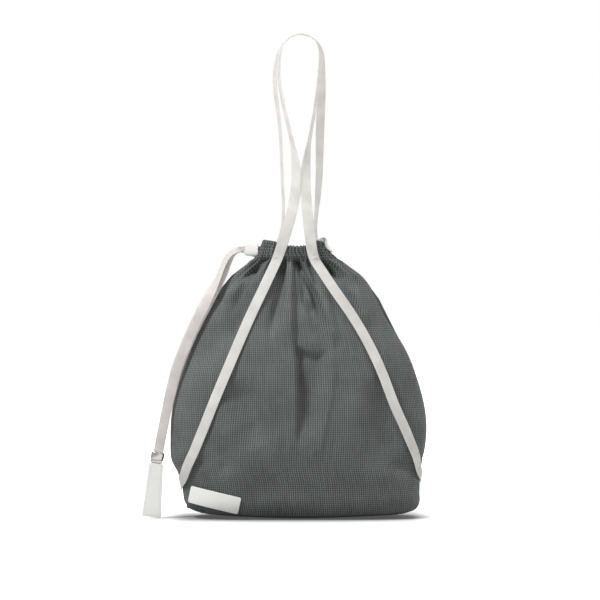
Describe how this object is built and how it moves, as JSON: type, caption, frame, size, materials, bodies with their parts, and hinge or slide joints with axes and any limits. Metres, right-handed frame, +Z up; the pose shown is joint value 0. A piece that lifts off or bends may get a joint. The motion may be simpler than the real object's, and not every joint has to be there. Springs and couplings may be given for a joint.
{
  "type": "shoe bag",
  "caption": "Drawstring shoe bag of mesh with a gathered mouth, webbing carrying loops and a hanging cord with metal slider and leather pull tab.",
  "frame": {"origin": "centre of the bag's footprint on the surface that it stands on, measured without the hanging cord", "axes": "+Z up, the face with the label patch towards -Y, the hanging cord on the -X side"},
  "size_m": [0.3407, 0.1418, 0.5805],
  "materials": {
    "mesh": "woven polyester mesh, matt",
    "binding": "seam binding, matt",
    "drawstring": "flat woven tape, soft",
    "webbing": "flat woven tape, soft",
    "white_leather": "smooth coated leather",
    "plated_metal": "polished nickel plate"
  },
  "bodies": {
    "bag": {"front_panel": "mesh", "back_panel": "mesh", "side_seam_left": "binding", "side_seam_right": "binding", "base_seam": "binding", "corner_seam_left": "binding", "corner_seam_right": "binding", "front_casing": "mesh", "back_casing": "mesh", "drawstring_run": "drawstring", "cord_guide_left": "white_leather", "cord_guide_right": "white_leather", "strap_front_left": "webbing", "strap_front_right": "webbing", "strap_back_left": "webbing", "strap_back_right": "webbing", "label_patch": "white_leather"},
    "front_handle": {"front_handle": "webbing"},
    "back_handle": {"back_handle": "webbing"},
    "tail": {"tail_tape_front": "drawstring", "tail_tape_back": "drawstring", "pull_tab_front": "white_leather", "pull_tab_back": "white_leather"},
    "slider": {"cord_slider": "plated_metal"}
  },
  "joints": [
    {"name": "front_handle_fold", "type": "hinge", "parent": "bag", "child": "front_handle", "pos_m": [-0.004, -0.0267, 0.31], "axis": [1, 0, 0], "range_deg": [0, 135]},
    {"name": "back_handle_fold", "type": "hinge", "parent": "bag", "child": "back_handle", "pos_m": [-0.004, 0.0267, 0.31], "axis": [1, 0, 0], "range_deg": [-135, 0]},
    {"name": "tail_swing", "type": "hinge", "parent": "bag", "child": "tail", "pos_m": [-0.0703, 0, 0.32125], "axis": [0, 1, 0], "range_deg": [0, 100]},
    {"name": "slider_slide", "type": "slide", "parent": "tail", "child": "slider", "axis": [0.183, 0, 0.9831], "range_m": [0, 0.04]}
  ]
}
